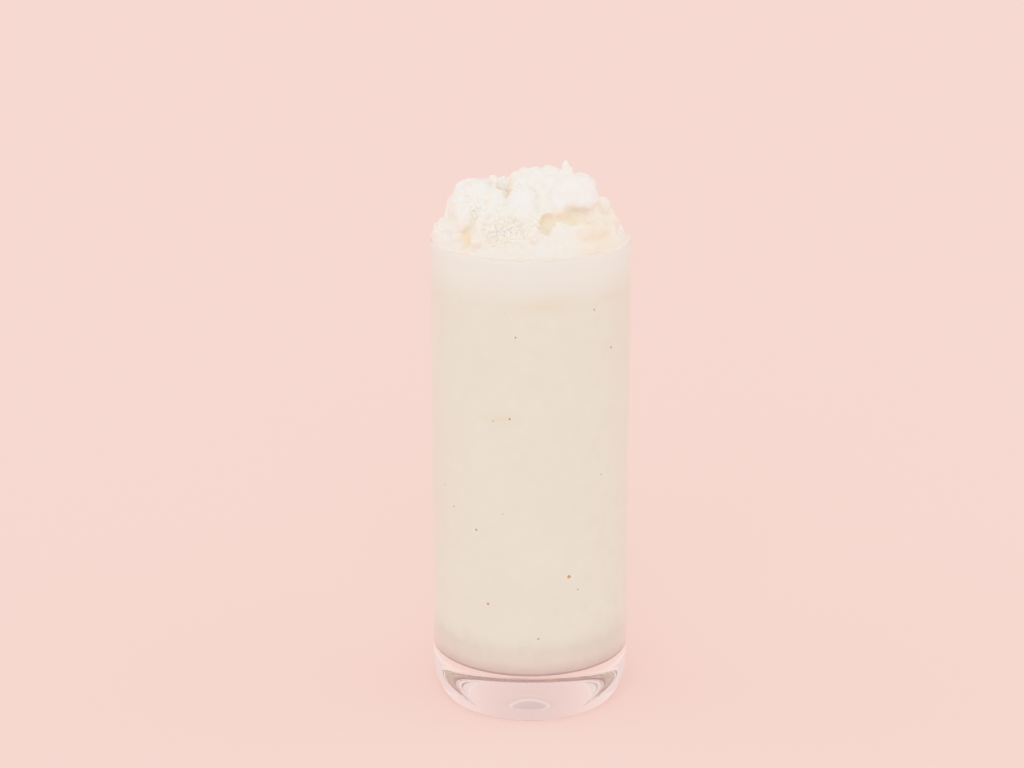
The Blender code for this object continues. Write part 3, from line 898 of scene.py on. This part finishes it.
def grain_places(chance):
    """Points of the heap's skin drawn by weight: heavy where the slush is coarse, none on the skirt."""
    coarse = read_grid(coarse_share, heap_places)
    even = read_grid(even_share, heap_places)
    weight = (STRAY_GRAINS + coarse**2) * (1.0 - even) ** 2 * (heap_mm[:, 2] > GRAIN_CLEAR_OF_SKIRT)
    chosen = chance.choice(len(heap_mm), GRAINS, replace=False, p=weight / weight.sum())
    return heap_mm[chosen]


chance = np.random.default_rng(5)
grain_spots = grain_places(chance)
grain_sizes = chance.uniform(*GRAIN_SIZE, GRAINS)
toward_middle = np.array(HEAP_MIDDLE) - grain_spots
toward_middle /= np.linalg.norm(toward_middle, axis=1, keepdims=True)
grain_spots = (grain_spots + toward_middle * (grain_sizes * GRAIN_SINK)[:, None]) * 0.001
grain_spots[:, 2] += GLASS_HEIGHT
grains = strew("ice_grains", grain_spots, grain_sizes * 0.001, 6, GRAIN_UNEVENNESS)
chip, nodes, links, shader = new_material("whitish_ice_chips")
cloudy = noise_on_object(nodes, links, 900.0, 2.0)
links.new(ramp(nodes, links, cloudy, GRAIN_COLOURS), shader.inputs["Base Color"])
shader.inputs["Subsurface Weight"].default_value = 0.6
shader.inputs["Subsurface Radius"].default_value = (1.0, 0.9, 0.75)
shader.inputs["Subsurface Scale"].default_value = 0.0006
shader.inputs["Roughness"].default_value = 0.12
shader.inputs["IOR"].default_value = 1.31
grains.data.materials.append(chip)
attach(grains, "root")

# Specks of fruit skin and pulp hang in the drink and show where they touch the wall: orange
# brown flakes, most of them half a millimetre to a millimetre wide, placed where the front
# shows them and at random behind.
FRONT_SPECKS = [
    (-8.5, 130.2, 0.46), (38.8, 137.6, 0.42), (53.2, 124.1, 0.46), (-21.8, 102.6, 0.36),
    (-12.0, 103.7, 0.42), (45.7, 82.8, 0.36), (-33.2, 65.4, 0.46), (23.4, 50.4, 0.80),
    (29.2, 45.6, 0.44), (-25.4, 40.9, 0.60), (5.0, 30.0, 0.50), (-50.9, 71.1, 0.34),
    (-60.3, 77.1, 0.32), (-16.0, 72.1, 0.26), (-15.0, 138.0, 0.22),
]
BACK_SPECKS = 18
SPECK_PROUD = 0.00008
SPECK_THICKNESS = 0.00012
SPECK_RINGS = 3
SPECK_TURNS = 8
SPECK_COLOURS = [(0.30, (0.44, 0.20, 0.07)), (0.70, (0.70, 0.44, 0.20))]


def speck_points(turn_round, height, size, chance):
    """A flat flake against the wall: an uneven oval, bent to the wall's curve by turning each point.

    Its place is a turn in degrees from the front and a height, and its size is half its width,
    both in millimetres.
    """
    ball = ball_points(SPECK_RINGS, SPECK_TURNS)
    ball = ball * (1.0 + 0.22 * chance.uniform(-1.0, 1.0, (len(ball), 1)))
    slant = chance.uniform(0.0, np.pi)
    wide = ball[:, 0] * size * 0.001
    high = ball[:, 1] * size * 0.001 * chance.uniform(0.6, 1.0)
    across = wide * np.cos(slant) - high * np.sin(slant)
    up = wide * np.sin(slant) + high * np.cos(slant)
    wall = inner_radius(height * 0.001) + INTO_WALL + SPECK_PROUD - SPECK_THICKNESS
    out = wall + ball[:, 2] * SPECK_THICKNESS
    angle = math.radians(turn_round) + across / wall
    return np.stack([out * np.sin(angle), -out * np.cos(angle), height * 0.001 + up], axis=1)


chance = np.random.default_rng(9)
speck_list = list(FRONT_SPECKS)
for _ in range(BACK_SPECKS):
    turn_round = chance.uniform(80.0, 280.0)
    height = chance.uniform(24.0, 140.0)
    speck_list.append((turn_round, height, chance.uniform(0.2, 0.5)))
flakes = [speck_points(*speck, chance) for speck in speck_list]
speck_faces = repeat_faces(ring_faces(SPECK_RINGS, SPECK_TURNS), len(flakes[0]), len(flakes))
specks = add_mesh("fruit_specks", np.concatenate(flakes), speck_faces)
peel, nodes, links, shader = new_material("orange_peel_specks")
links.new(ramp(nodes, links, noise_on_object(nodes, links, 260.0, 2.0), SPECK_COLOURS),
          shader.inputs["Base Color"])
shader.inputs["Roughness"].default_value = 0.5
specks.data.materials.append(peel)
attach(specks, "root")
